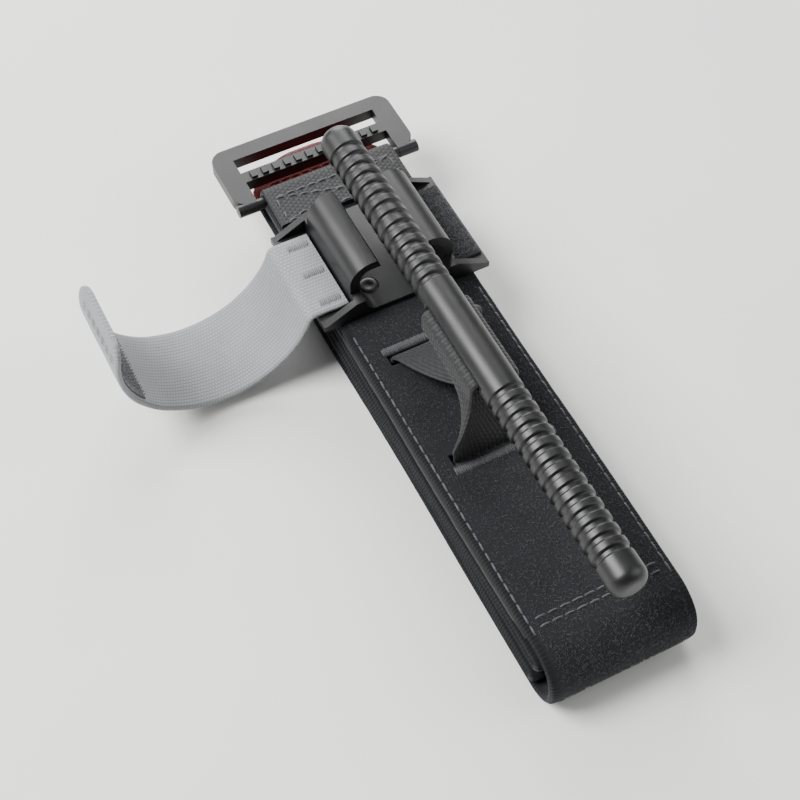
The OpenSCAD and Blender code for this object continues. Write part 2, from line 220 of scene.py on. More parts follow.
def brushed_band(name, ground, lint_and_tip_highlight, edge):
    """Hook-and-loop nylon: a short brushed pile that swallows light, over ribs 1.2 mm apart,
    with a bare woven edge 1.8 mm wide. Its filaments are about 0.04 mm, too fine to show, so
    they are drawn as 0.13 mm yarn in 0.3 mm tufts."""
    rib_pitch, weft_pitch, tuft, yarn, streak = 1.2, 0.9, 0.3, 0.13, 9
    finish, tree = new_finish(name)
    uv = add(tree, "ShaderNodeUVMap", uv_map="strap")
    u, v = add(tree, "ShaderNodeSeparateXYZ", (uv,)).outputs[:2]
    rim = add(tree, "ShaderNodeMapRange",
              {"Value": add(tree, MATH, (u,), operation="ABSOLUTE"),
               "From Min": (band_w / 2 - 2.1) * MM, "From Max": (band_w / 2 - 1.5) * MM},
              interpolation_type="SMOOTHSTEP")
    wave = add(tree, MATH, (u, math.pi / (rib_pitch * MM)), operation="MULTIPLY")
    rib = add(tree, MATH, (add(tree, MATH, (wave,), operation="SINE"),), operation="ABSOLUTE")
    turns = add(tree, MATH, (v, 2 * math.pi / (weft_pitch * MM)), operation="MULTIPLY")
    weft = add(tree, MATH, (turns,), operation="SINE")
    tufts = add(tree, NOISE, {"Vector": uv, "Scale": 1 / (tuft * MM), "Detail": 2.0,
                              "Roughness": 0.7})
    knots = add(tree, NOISE, {"Vector": uv, "Scale": 1 / (yarn * MM), "Detail": 1.0})
    brush = add(tree, NOISE, {"Vector": uv, "Scale": 1 / (streak * MM), "Detail": 2.0})
    woven = add(tree, MATH, (weft, 0.35, add(tree, MATH, (rib, 0.7), operation="MULTIPLY")),
                operation="MULTIPLY_ADD")
    pile = add(tree, MATH, (rib, 0.22), operation="MULTIPLY")
    pile = add(tree, MATH, (knots, 0.9, pile), operation="MULTIPLY_ADD")
    pile = add(tree, MATH, (tufts, 1.3, pile), operation="MULTIPLY_ADD")
    height = add(tree, MIX, {"Factor": rim, "A": pile, "B": woven})
    # Pile colour: lint on the tufts' tips, partly a painted highlight on those tips, with
    # painted sheen in nap streaks about 9 mm across.
    light = add(tree, MATH, (add(tree, MATH, (tufts, 2.0), operation="POWER"),
                             add(tree, MATH, (brush, 0.35), operation="ADD")),
                operation="MULTIPLY")
    shade = add(tree, MIX, {"Factor": add(tree, MATH, (light, 1.4), operation="MULTIPLY"),
                            "A": linear(ground), "B": linear(lint_and_tip_highlight)}, data_type="RGBA")
    return surface(finish, (rim, shade, edge), 0.93, (height, 0.9, 0.18),
                   {"IOR": 1.53, "Specular IOR Level": 0.25, "Sheen Weight": 0.2,
                    "Sheen Roughness": 0.45, "Sheen Tint": linear("#9a9ca2")})


band_finish = brushed_band("brushed hook-and-loop nylon", "#08090a", "#303136", "#101113")

first_z = folded_lo[2] + band_t / 2
straight = stack_y - fold_y
folds = trace((fold_y, first_z), 0,
              [(straight + 0.9,), (bend_r, 180), (straight + 0.3,), (bend_r, -180),
               (straight - 1.3,), (bend_r, 180), (straight - 0.7,)])
folded_layers = ribbon("folded_layers", along_band(folds), band_w, band_t, band_finish,
                       wave=0.14, drift=2.2, seed=3)
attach(folded_layers, "folded_half")
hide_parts("folded_band")

# ---------------------------------------------------------------------------------------
# Main fold: where the band turns back over the folded layers. The outer bend runs right
# round the stack, the inner one joins the last folded layer to the tail run.

outer_mid_r = (outer_hi[2] - outer_lo[2] - band_t) / 2
outer_line = trace((fold_y, outer_hi[2] - band_t / 2), 180, [(outer_mid_r, 180)])
main_fold_outer = ribbon("main_fold_outer", along_band(outer_line), band_w, band_t,
                         band_finish, wave=0.1, drift=0.6, seed=11)
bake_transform(main_fold_outer)
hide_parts("outer_fold")

inner_line = trace((fold_y, inner_hi[2] - band_t / 2), 180, [(bend_r, 180)])
main_fold_inner = ribbon("main_fold_inner", along_band(inner_line), band_w, band_t,
                         band_finish, wave=0.05, seed=12)
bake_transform(main_fold_inner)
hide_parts("inner_fold")

# ---------------------------------------------------------------------------------------
# Windlass layer: the top run of the band, sewn as a flat tube. The inner strap runs in its
# tunnel and comes out at two cut slits, and its end is hemmed thicker for the buckle's loop.

top_lo, top_hi = span("windlass_band")
run_lo, run_hi = span("inner_strap")
tack_lo, tack_hi = span("slit_bar_tacks")
leg_hi = span("inner_strap_legs")[1]
rod_lo, rod_hi = span("windlass_rod")
loop_lo, loop_hi = span("buckle_loop")

top_z = outer_hi[2]
top_mid = top_z - band_t / 2
windlass_y = (rod_lo[1] + rod_hi[1]) / 2
tack_half = 1.0
slit_half = 1.5
slit_off = (tack_hi[1] - tack_lo[1]) / 2 - tack_half - 3
hem_half = (top_hi[2] - top_lo[2]) / 2
hem_y = loop_lo[1] - 0.3
hem_before, hem_length = 2.5, 3


def hem_swell(y):
    """Half the thickness of the layer, which grows softly into the hem."""
    t = min(1, max(0, (y - hem_y + hem_before) / hem_length))
    return band_t / 2 + (hem_half - band_t / 2) * t * t * (3 - 2 * t)


def cut_away(piece, lows, highs):
    """Cuts boxes, given by their corners in millimetres, out of a piece."""
    for lo, hi in zip(lows, highs):
        corners = [(x, y, z) for x in (lo[0], hi[0]) for y in (lo[1], hi[1])
                   for z in (lo[2], hi[2])]
        tool = build("tool", corners, [(0, 1, 3, 2), (4, 6, 7, 5), (0, 4, 5, 1),
                                       (2, 3, 7, 6), (0, 2, 6, 4), (1, 5, 7, 3)], None)
        cut = piece.modifiers.new("cut", "BOOLEAN")
        cut.object, cut.operation, cut.solver = tool, "DIFFERENCE", "EXACT"
        bake(piece)
        bpy.data.objects.remove(tool)


def bake(piece):
    """Turns a piece and its modifiers into a plain mesh."""
    piece.data = bpy.data.meshes.new_from_object(
        piece.evaluated_get(bpy.context.evaluated_depsgraph_get()))
    piece.modifiers.clear()


hem_line = trace((fold_y, top_mid), 0, [(top_hi[1] - fold_y,)])
windlass_layer = ribbon("windlass_layer", along_band(hem_line), band_w, band_t, band_finish,
                        wave=0.12, drift=0.5, seed=21)
for corner in windlass_layer.data.vertices:
    z = corner.co.z / MM - top_mid
    corner.co.z = (top_mid + z * hem_swell(corner.co.y / MM) / (band_t / 2)) * MM
tunnel_half = (run_hi[0] - run_lo[0]) / 2 + 0.3
slits = [windlass_y - slit_off, windlass_y + slit_off]
cut_away(windlass_layer,
         [(-tunnel_half, run_lo[1] - 0.3, run_lo[2])]
         + [(-tunnel_half, y - slit_half, run_lo[2] + 0.01) for y in slits],
         [(tunnel_half, run_hi[1] + 0.3, run_hi[2] + 0.2)]
         + [(tunnel_half, y + slit_half, top_z + 2) for y in slits])
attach(windlass_layer, "windlass_half")
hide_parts("windlass_band")

# ---------------------------------------------------------------------------------------
# Tail layer and pull tab: the last run of the band lies under the plate and comes out past
# the stack as a free tab.

tab_lo, tab_hi = span("tail_tab")
tail_mid = (tail_lo[2] + tail_hi[2]) / 2
flex_start, flex_end = tab_lo[1] - 3, tab_lo[1] + 3
tail_line = trace((fold_y, tail_mid), 0, [(flex_start - 2 - fold_y,)])
tail_layer = ribbon("tail_layer", along_band(tail_line), band_w, band_t, band_finish,
                    wave=0.1, drift=1.2, seed=31)
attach(tail_layer, "windlass_half")
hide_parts("tail_band")

tip_lo, tip_hi = span("red_tip")
nose_r = band_w * 0.62
nose_inset = 0.4
nose_y = tip_hi[1]


def nose_half(y, inset):
    """Half the width of the free end at y, inside its round nose."""
    reach = (nose_r - inset) ** 2 - max(0, y - nose_y + nose_r) ** 2
    return min(band_w / 2, math.sqrt(max(reach, 0.0004)))


tab_line = trace((flex_start - 2, tail_mid), 0, [(tab_hi[1] - flex_start + 2,)])
pull_tab = ribbon("pull_tab", along_band(tab_line), band_w, band_t, band_finish, wave=0.06,
                  seed=32, taper=lambda way, total: nose_half(
                      tab_hi[1] - total + way, nose_inset) / (band_w / 2))
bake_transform(pull_tab)
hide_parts("tail_tab")

# ---------------------------------------------------------------------------------------
# Red tip: a piece of coated nylon folded over the end of the tab and sewn through, so that
# the free end is easy to find. It is stiff, with a round nose and a soft pressed edge.

tip_thick = tip_hi[2] - tip_lo[2]


def coated_nylon(name, bright, deep):
    """Coated pack cloth: a plain weave under a skin that fills it, so it has a soft shine,
    darker where it has been handled. The 0.35 mm weave is drawn at 0.6 mm, to show."""
    weave_pitch, wear_size, crease_size = 0.6, 7, 4
    finish, tree = new_finish(name)
    place = add(tree, "ShaderNodeTexCoord").outputs["Object"]
    threads = [add(tree, MATH, (axis, 2 * math.pi / (weave_pitch * MM)), operation="MULTIPLY")
               for axis in add(tree, "ShaderNodeSeparateXYZ", (place,)).outputs[:2]]
    weave = add(tree, MATH, [add(tree, MATH, (t,), operation="SINE") for t in threads],
                operation="MULTIPLY")
    wear = add(tree, NOISE, {"Vector": place, "Scale": 1 / (wear_size * MM), "Detail": 4.0,
                             "Roughness": 0.6})
    creases = add(tree, NOISE, {"Vector": place, "Scale": 1 / (crease_size * MM),
                                "Detail": 2.0})
    height = add(tree, MATH, (weave, 0.18, creases), operation="MULTIPLY_ADD")
    gloss = add(tree, "ShaderNodeMapRange", {"Value": wear, "To Min": 0.42, "To Max": 0.62})
    return surface(finish, (wear, deep, bright), gloss, (height, 0.7, 0.25),
                   {"IOR": 1.5, "Sheen Weight": 0.05, "Sheen Roughness": 0.4})


red_finish = coated_nylon("red coated nylon", "#9a0c11", "#68070a")


def pillow(name, stations, finish, cuts=20):
    """A flat body with soft round edges. Stations give y, half width, middle height and
    half thickness."""
    points = []
    for y, half, mid, thick in stations:
        radius = min(thick, half)
        flat = np.linspace(-half + radius, half - radius, cuts + 1)
        turn = np.radians(np.arange(22.5, 180, 22.5))
        right = [(half - radius + radius * math.sin(t), thick * math.cos(t)) for t in turn]
        for a, b in ([(a, thick) for a in flat] + right + [(a, -thick) for a in flat[::-1]]
                     + [(-a, -b) for a, b in right]):
            points.append((a, y, mid + b))
    return skin(name, points, len(points) // len(stations), finish)


tip_stations = []
for depth in np.concatenate([np.linspace(nose_y - tip_lo[1], 2, 26),
                             2 * (1 - np.sin(np.radians(np.arange(8, 90, 8)))), [0.004]]):
    y = nose_y - depth
    half = nose_half(y, 0)
    press = 1 - 0.3 * min(1, max(0, (y - tab_hi[1]) / 4))
    nose = math.sqrt(max(0, 1 - (1 - min(depth / 1.6, 1)) ** 2))
    tip_stations.append((y, half, tail_mid, tip_thick / 2 * press * max(nose, 0.03)))
red_tip = pillow("sewn_red_tip", tip_stations, red_finish)
cut_away(red_tip, [(-band_w, tip_lo[1] - 1, tab_lo[2] - 0.05)],
         [(band_w, tab_hi[1] + 0.1, tab_hi[2] + 0.05)])
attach(red_tip, "tail")
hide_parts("red_tip")

# ---------------------------------------------------------------------------------------
# Plate and pocket: a stiff moulded plate spreads the windlass's pull. It sits in a shallow
# tray of plain-woven nylon, sewn under the windlass layer.

tray_lo, tray_hi = span("plate_pocket")
plate_lo, plate_hi = span("stabilising_plate")


def woven_nylon(name, dark, light, warp, weft, relief, gloss, sheen, stain=0.3):
    """Flat-woven nylon: ribs warp mm apart along the strap, crossed every weft mm, each
    rib's turns half a step behind its neighbour's. relief is in mm."""
    fluff_size, dust_size = 0.25, 12
    finish, tree = new_finish(name)
    uv = add(tree, "ShaderNodeUVMap", uv_map="strap")
    u, v = add(tree, "ShaderNodeSeparateXYZ", (uv,)).outputs[:2]
    rib = add(tree, MATH, (u, 1 / (warp * MM)), operation="MULTIPLY")
    other = add(tree, MATH, (add(tree, MATH, (rib,), operation="FLOOR"), math.pi),
                operation="MULTIPLY")
    wave = add(tree, MATH, (rib, math.pi), operation="MULTIPLY")
    ridge = add(tree, MATH, (add(tree, MATH, (wave,), operation="SINE"),),
                operation="ABSOLUTE")
    turns = add(tree, MATH, (v, 2 * math.pi / (weft * MM), other), operation="MULTIPLY_ADD")
    turns = add(tree, MATH, (turns,), operation="SINE")
    weave = add(tree, MATH, (add(tree, MATH, (ridge, 0.6), operation="POWER"),
                             add(tree, MATH, (turns, 0.28, 0.72), operation="MULTIPLY_ADD")),
                operation="MULTIPLY")
    fluff = add(tree, NOISE, {"Vector": uv, "Scale": 1 / (fluff_size * MM), "Detail": 2.0})
    dust = add(tree, NOISE, {"Vector": uv, "Scale": 1 / (dust_size * MM), "Detail": 4.0,
                             "Roughness": 0.6})
    height = add(tree, MATH, (fluff, 0.25, weave), operation="MULTIPLY_ADD")
    # Colour: dust at random, plus painted shade, with the weave's grooves drawn darker and its
    # ridges lighter.
    share = add(tree, MATH, (dust, stain, add(tree, MATH, (weave, 0.6), operation="MULTIPLY")),
                operation="MULTIPLY_ADD")
    return surface(finish, (share, dark, light), gloss, (height, 0.9, relief),
                   {"IOR": 1.53, "Sheen Weight": sheen, "Sheen Roughness": 0.4})


def moulded_nylon(name, dark, light, gloss):
    """Glass-filled nylon from a spark-eroded mould: a fine even grain, satin, with faint paler
    bloom where it is rubbed. The grain is under 0.1 mm, and drawn at 0.25 mm to show."""
    grain_size, bloom_size, scuff_size = 0.25, 9, 1.2
    finish, tree = new_finish(name)
    place = add(tree, "ShaderNodeTexCoord").outputs["Object"]
    grain = add(tree, NOISE, {"Vector": place, "Scale": 1 / (grain_size * MM), "Detail": 3.0,
                              "Roughness": 0.6})
    bloom = add(tree, NOISE, {"Vector": place, "Scale": 1 / (bloom_size * MM), "Detail": 5.0,
                              "Roughness": 0.65})
    drawn = add(tree, "ShaderNodeMapping", {"Vector": place, "Scale": (1, 0.12, 1)})
    scuffs = add(tree, NOISE, {"Vector": drawn, "Scale": 1 / (scuff_size * MM), "Detail": 4.0})
    rubbed = add(tree, "ShaderNodeMapRange", {"Value": scuffs, "From Min": 0.58,
                                              "From Max": 0.78})
    share = add(tree, MATH, (bloom, 0.5), operation="MULTIPLY")
    share = add(tree, MATH, (rubbed, 0.35, share), operation="MULTIPLY_ADD")
    rough = add(tree, MATH, (bloom, 0.16, gloss - 0.08), operation="MULTIPLY_ADD")
    return surface(finish, (share, dark, light), rough, (grain, 0.5, 0.05), {"IOR": 1.54})


moulded_finish = moulded_nylon("moulded glass-filled nylon", "#050506", "#111214", 0.42)
plate = frame["nodes"]["stabilising_plate"]
plate.data.materials.clear()
plate.data.materials.append(moulded_finish)

pocket_finish = woven_nylon("plain-woven pocket nylon", "#050506", "#101113", 0.4, 0.4, 0.06,
                            0.8, 0.1)
tray_line = trace((tray_lo[1], (tray_lo[2] + tray_hi[2]) / 2), 0, [(tray_hi[1] - tray_lo[1],)])
pocket_tray = ribbon("pocket_tray", along_band(tray_line), band_w - 0.2,
                     tray_hi[2] - tray_lo[2] - 0.1, pocket_finish, wave=0.05, drift=0.5, seed=41)
plate_corner_r, pinch_from, pinch_over, pinch_share = 8, 0.7, 2.6, 0.85
for corner in pocket_tray.data.vertices:
    x, y, z = corner.co / MM
    dx = max(0, abs(x) - (plate_hi[0] - plate_corner_r))
    dy = max(0, abs(y - windlass_y) - (plate_hi[1] - windlass_y - plate_corner_r))
    spare = min(1, max(0, (math.hypot(dx, dy) - plate_corner_r - pinch_from) / pinch_over))
    if dx and dy:
        sag = spare * spare * (3 - 2 * spare)
        corner.co.z += (tray_hi[2] - pinch_from - z) * pinch_share * sag * MM
cut_away(pocket_tray, [(plate_lo[0] - 0.4, plate_lo[1] - 0.5, plate_lo[2] - 0.05)],
         [(plate_hi[0] + 0.4, plate_hi[1] + 0.5, top_lo[2] + 2)])
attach(pocket_tray, "windlass_half")
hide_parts("plate_pocket")

# ---------------------------------------------------------------------------------------
# Inner strap: flat 25 mm webbing that does the tightening. It lies in the tunnel, rises
# through the two slits, makes a quarter turn on its way up and passes through the rod.

strap_finish = woven_nylon("flat nylon webbing", "#060607", "#18191c", 1.1, 1.3, 0.2, 0.68, 0.1)
strap_w = run_hi[0] - run_lo[0]
strap_t = run_hi[2] - run_lo[2]
run_mid = (run_lo[2] + run_hi[2]) / 2
turn_r, slit_proud = 0.9, 0.3
rod_z = (rod_lo[2] + rod_hi[2]) / 2
rod_r = (rod_hi[0] - rod_lo[0]) / 2
leg_x = leg_hi[0] - 0.7


def quarter_turns(stations, side):
    """Turns stations half round about the rod's axis for the strap's second side."""
    if side > 0:
        return stations
    flip = np.array([-1, -1, 1])
    shift = np.array([0, 2 * windlass_y, 0])
    return [(p * flip + shift, a * flip, o * flip) for p, a, o in stations]


tunnel_run = []
for side, far in ((1, run_hi[1]), (-1, 2 * windlass_y - run_lo[1])):
    start = far - 0.3
    bend_at = windlass_y + slit_off + turn_r
    line = trace((start, run_mid), 180, [(start - bend_at,), (turn_r, -90),
                                         (top_z + slit_proud - run_mid - turn_r,)])
    stations = quarter_turns(along_band(line), side)
    tunnel_run.append(ribbon(f"inner_strap_run_{'ab'[side < 0]}", stations, strap_w - 0.6,
                             strap_t, strap_finish, wave=0, seed=51 + side))
for run in tunnel_run:
    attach(run, "windlass_half")
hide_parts("inner_strap")

leg_foot, leg_top = top_z + slit_proud, leg_hi[2]
for side in (1, -1):
    stations = []
    for t in np.linspace(0, 1, 25):
        ease = t * t * (3 - 2 * t)
        angle = math.radians(90 * ease)
        place = np.array([leg_x * ease, windlass_y + slit_off * (1 - ease),
                          leg_foot + (leg_top - leg_foot) * t])
        across = np.array([math.cos(angle), math.sin(angle), 0])
        stations.append((place, across, np.array([math.sin(angle), -math.cos(angle), 0])))
    leg = ribbon(f"inner_strap_leg_{'ab'[side < 0]}", quarter_turns(stations, side),
                 strap_w - 0.6, 1.2, strap_finish, wave=0.25, seed=55 + side)
    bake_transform(leg)
    if side > 0:
        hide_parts("inner_strap_legs")

def across_strap(line, y, face=1):
    """Stations of a strap whose line lies in the plane across the band, at y. Its face is
    on the left of the way it runs, or on the right where face is -1."""
    return [(np.array([p[0], y, p[1]]), np.array([0, 1.0, 0]),
             face * np.array([-math.sin(a), 0, math.cos(a)])) for p, a in zip(*line)]


over_r = 1.5
loop_line = trace((leg_x, leg_top), 90,
                  [(rod_z - over_r - leg_top,), (over_r, 90), (2 * (leg_x - over_r),),
                   (over_r, 90), (rod_z - over_r - leg_top,)], step=0.8)
strap_loop = ribbon("strap_through_rod", across_strap(loop_line, windlass_y, -1),
                    strap_w - 0.4, 1.3, strap_finish,
                    wave=0.05, seed=58)
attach(strap_loop, "windlass")
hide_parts("inner_strap_loop")

# ---------------------------------------------------------------------------------------
# Windlass rod: one moulded bar of glass-filled nylon, round, with grip ribs on both arms, a
# plain middle and a slot through it for the inner strap.

rod_len = rod_hi[1] - rod_lo[1]
hub_half = 17
rib_pitch, rib_depth, rib_land, rib_slope = 3.5, 0.6, 0.58, 0.14
end_r, end_plain = 3, 6
slot_half_l, slot_half_h = strap_w / 2 + 0.5, 1.1


def lathe(name, outline, finish, centre, axis, parts=56):
    """Turns an outline of (radius, place along the axis) about an axis, in millimetres."""
    points = []
    u = np.array([0, 0, 1.0]) if axis == "Y" else np.array([0, 1.0, 0])
    v = np.array([1.0, 0, 0])
    n = np.cross(v, u) if axis == "Y" else np.array([0, 0, 1.0])
    for radius, place in outline:
        for k in range(parts):
            t = 2 * math.pi * k / parts
            points.append(np.array(centre) + n * place
                          + radius * (u * math.sin(t) + v * math.cos(t)))
    return skin(name, points, parts, finish)


def grip_radius(place):
    """Radius of the rod at a place along it: plain middle, ribbed arms, round ends."""
    along = abs(place)
    to_end = rod_len / 2 - along
    if to_end < end_r:
        return rod_r - end_r + math.sqrt(max(0, end_r ** 2 - (end_r - to_end) ** 2))
    ribs = math.floor((rod_len / 2 - end_plain - hub_half) / rib_pitch) * rib_pitch
    if not hub_half < along < hub_half + ribs:
        return rod_r
    phase = ((along - hub_half) / rib_pitch) % 1
    wall = min(max(0, phase - 0.02), max(0, rib_land - phase)) / rib_slope
    dip = min(1, wall)
    return rod_r - rib_depth * dip * dip * (3 - 2 * dip)


places = np.concatenate([rod_len / 2 - end_r * (1 - np.cos(np.radians(np.arange(0, 90, 9)))),
                         np.arange(rod_len / 2 - 3.2, hub_half - 0.3, -0.16),
                         np.arange(hub_half - 1, 0, -2.0), [0]])
rod_outline = [(grip_radius(s), s) for s in -places] + [(grip_radius(s), s)
                                                        for s in places[::-1][1:]]
rod = lathe("ribbed_rod", rod_outline, moulded_finish, (0, windlass_y, rod_z), "Y")
cut_away(rod, [(-rod_r - 1, windlass_y - slot_half_l, rod_z - slot_half_h)],
         [(rod_r + 1, windlass_y + slot_half_l, rod_z + slot_half_h)])
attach(rod, "windlass")
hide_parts("windlass_rod")

# ---------------------------------------------------------------------------------------
# Clip: one moulding of glass-filled nylon. The rod drops between its two hooks and turns
# under one of them. Four nylon rivets hold it to the band and the plate.


def moulded_copy(name, cad_node, edge, finish):
    """A merged copy of a CAD node with its edges rounded as a mould leaves them."""
    piece = frame["nodes"][cad_node].copy()
    piece.data = piece.data.copy()
    piece.name = name
    bpy.context.scene.collection.objects.link(piece)
    piece.parent = None
    solid = bmesh.new()
    solid.from_mesh(piece.data)
    bmesh.ops.remove_doubles(solid, verts=solid.verts, dist=0.002 * MM)
    bmesh.ops.dissolve_limit(solid, angle_limit=math.radians(1), verts=solid.verts,
                             edges=solid.edges)
    solid.to_mesh(piece.data)
    solid.free()
    for side in piece.data.polygons:
        side.use_smooth = True
    bevel = piece.modifiers.new("edge", "BEVEL")
    bevel.width, bevel.segments, bevel.angle_limit = edge * MM, 3, math.radians(32)
    bevel.use_clamp_overlap = True
    piece.modifiers.new("flat faces", "WEIGHTED_NORMAL").keep_sharp = True
    bake(piece)
    piece.data.materials.clear()
    piece.data.materials.append(finish)
    return piece


clip = moulded_copy("hooked_clip", "windlass_clip", 0.5, moulded_finish)
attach(clip, "windlass_half")
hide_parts("windlass_clip")

rivet_lo, rivet_hi = span("clip_rivets")
head_r, head_t, shank_r, pole_r = 2.6, 0.8, 1.5, 0.05
head_z = rivet_hi[2]
rivet_outline = [(pole_r, rivet_lo[2]), (shank_r, rivet_lo[2]), (shank_r, head_z - head_t),
                 (head_r, head_z - head_t), (head_r, head_z - 0.1),
                 (head_r - 0.25, head_z + 0.1), (1.4, head_z + 0.25), (0.9, head_z + 0.05),
                 (pole_r, head_z)]
rivets = []
for x in (rivet_lo[0] + head_r, rivet_hi[0] - head_r):
    for y in (rivet_lo[1] + head_r, rivet_hi[1] - head_r):
        rivets.append(lathe(f"clip_rivet_{len(rivets) + 1}", rivet_outline, moulded_finish,
                            (x, y, 0), "Z", parts=28))
for rivet in rivets:
    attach(rivet, "windlass_half")
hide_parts("clip_rivets")

# ---------------------------------------------------------------------------------------
# Landing patch: a strip of loop tape welded on the clip's far flange, where the closed time
# strap grips. Its face is a tangle of fine nylon loops on a knitted ground.

patch_lo, patch_hi = span("landing_patch")


def tape(name, dark, light, tuft, relief, gloss):
    """Hook-and-loop tape's ground: close knitting with tufts of the given size in mm."""
    finish, tree = new_finish(name)
    place = add(tree, "ShaderNodeTexCoord").outputs["Object"]
    tufts = add(tree, "ShaderNodeTexVoronoi", {"Vector": place, "Scale": 1 / (tuft * MM)})
    fine = add(tree, NOISE, {"Vector": place, "Scale": 1 / (0.3 * MM), "Detail": 3.0})
    height = add(tree, MATH, (tufts, 0.8, add(tree, MATH, (fine, 0.6), operation="MULTIPLY")),
                 operation="MULTIPLY_ADD")
    return surface(finish, (fine, dark, light), gloss, (height, 0.9, relief),
                   {"IOR": 1.53, "Sheen Weight": 0.3, "Sheen Roughness": 0.4})


loop_finish = tape("knitted loop tape", "#141518", "#3a3b40", 0.5, 0.2, 0.9)


def thread(name, dark, light):
    """Bonded nylon thread: three plies laid round each other, smooth, with a soft glint."""
    ply_pitch = 0.9
    finish, tree = new_finish(name)
    place = add(tree, "ShaderNodeTexCoord").outputs["Object"]
    plies = add(tree, "ShaderNodeTexWave", {"Vector": place, "Scale": 1 / (ply_pitch * MM),
                                            "Distortion": 2.0}, bands_direction="DIAGONAL")
    ply = plies.outputs["Fac"]
    # Ply crowns are drawn lighter and the grooves between plies darker: a painted highlight and
    # painted shade along the twist.
    return surface(finish, (ply, dark, light), 0.5, (ply, 0.6, 0.05),
                   {"IOR": 1.53, "Sheen Weight": 0.2})


def repeat_tree(name, bend):
    """A tree that sets one short bent fibre on every point of a mesh. bend names its curve:
    "stitch" dips into the cloth at both ends, "loop" stands up as an arch, "hook" leans over.
    Each point's along and out attributes give the fibre's direction."""
    tree = bpy.data.node_groups.new(name, "GeometryNodeTree")
    face = tree.interface
    face.new_socket("Geometry", in_out="OUTPUT", socket_type="NodeSocketGeometry")
    face.new_socket("Geometry", in_out="INPUT", socket_type="NodeSocketGeometry")
    for label, kind in (("Length", "Float"), ("Height", "Float"), ("Fibre radius", "Float"),
                        ("Wobble", "Float"), ("Seed", "Int"), ("Finish", "Material")):
        face.new_socket(label, in_out="INPUT", socket_type=f"NodeSocket{kind}")
    given = add(tree, "NodeGroupInput").outputs
    length, height, radius = given["Length"], given["Height"], given["Fibre radius"]
    half, back, sink = (add(tree, MATH, (size, share), operation="MULTIPLY").outputs[0]
                        for size, share in ((length, 0.5), (length, -0.5), (radius, -1.2)))
    arch = (back, sink), (0.0, height), (half, sink)
    ends = {"stitch": arch, "loop": arch,
            "hook": ((back, sink), (back, height), (half, height))}[bend]
    corners = [add(tree, "ShaderNodeCombineXYZ", {"X": x, "Z": z}).outputs[0]
               for x, z in ends]
    line = add(tree, "GeometryNodeCurveQuadraticBezier",
               {"Resolution": 6 if bend == "stitch" else 4, "Start": corners[0],
                "Middle": corners[1], "End": corners[2]})
    ring = add(tree, "GeometryNodeCurvePrimitiveCircle",
               {"Resolution": 7 if bend == "stitch" else 3, "Radius": radius})
    fibre = add(tree, "GeometryNodeCurveToMesh",
                {"Curve": line.outputs[0], "Profile Curve": ring.outputs[0], "Fill Caps": True})
    along, out = (add(tree, "GeometryNodeInputNamedAttribute", {"Name": word},
                      data_type="FLOAT_VECTOR").outputs[0] for word in ("along", "out"))
    lie = add(tree, "FunctionNodeAlignRotationToVector", {"Vector": along}, axis="X")
    stand = add(tree, "FunctionNodeAlignRotationToVector",
                {"Rotation": lie.outputs[0], "Vector": out}, axis="Z", pivot_axis="X")
    spin = add(tree, "FunctionNodeRandomValue", {"Seed": given["Seed"]},
               data_type="FLOAT_VECTOR")
    spin.inputs["Min"].default_value, spin.inputs["Max"].default_value = (-1,) * 3, (1,) * 3
    swing = add(tree, "ShaderNodeVectorMath",
                {0: spin.outputs[0], 3: given["Wobble"]}, operation="SCALE")
    turned = add(tree, "FunctionNodeRotateRotation",
                 {"Rotation": stand.outputs[0],
                  "Rotate By": add(tree, "FunctionNodeEulerToRotation",
                                   {0: swing.outputs[0]}).outputs[0]},
                 rotation_space="LOCAL")
    size = add(tree, "FunctionNodeRandomValue", {"Seed": given["Seed"]}, data_type="FLOAT")
    size.inputs[2].default_value, size.inputs[3].default_value = 0.93, 1.07
    placed = add(tree, "GeometryNodeInstanceOnPoints",
                 {"Points": given["Geometry"], "Instance": fibre.outputs[0],
                  "Rotation": turned.outputs[0], "Scale": size.outputs[1]})
    real = add(tree, "GeometryNodeRealizeInstances", {"Geometry": placed.outputs[0]})
    smooth = add(tree, "GeometryNodeSetShadeSmooth", {"Geometry": real.outputs[0]})
    dyed = add(tree, "GeometryNodeSetMaterial",
               {"Geometry": smooth.outputs[0], "Material": given["Finish"]})
    add(tree, "NodeGroupOutput", {"Geometry": dyed.outputs[0]})
    return tree


stitch_tree = repeat_tree("thread stitches", "stitch")
loop_tree = repeat_tree("tape loops", "loop")
hook_tree = repeat_tree("tape hooks", "hook")


def fibres(name, tree, places, finish, length, height, radius, wobble, seed):
    """One fibre for each (point, along, out) in places, with sizes in millimetres."""
    mesh = bpy.data.meshes.new(name)
    mesh.from_pydata([tuple(np.array(p) * MM) for p, _, _ in places], [], [])
    for word, k in (("along", 1), ("out", 2)):
        mesh.attributes.new(word, "FLOAT_VECTOR", "POINT").data.foreach_set(
            "vector", np.array([p[k] for p in places], np.float32).ravel())
    piece = bpy.data.objects.new(name, mesh)
    bpy.context.scene.collection.objects.link(piece)
    made = piece.modifiers.new("repeat", "NODES")
    made.node_group = tree
    values = {"Length": length * MM, "Height": height * MM, "Fibre radius": radius * MM,
              "Wobble": math.radians(wobble), "Seed": seed, "Finish": finish}
    for socket in tree.interface.items_tree:
        if socket.in_out == "INPUT" and socket.name in values:
            made[socket.identifier] = values[socket.name]
    bake(piece)
    return piece


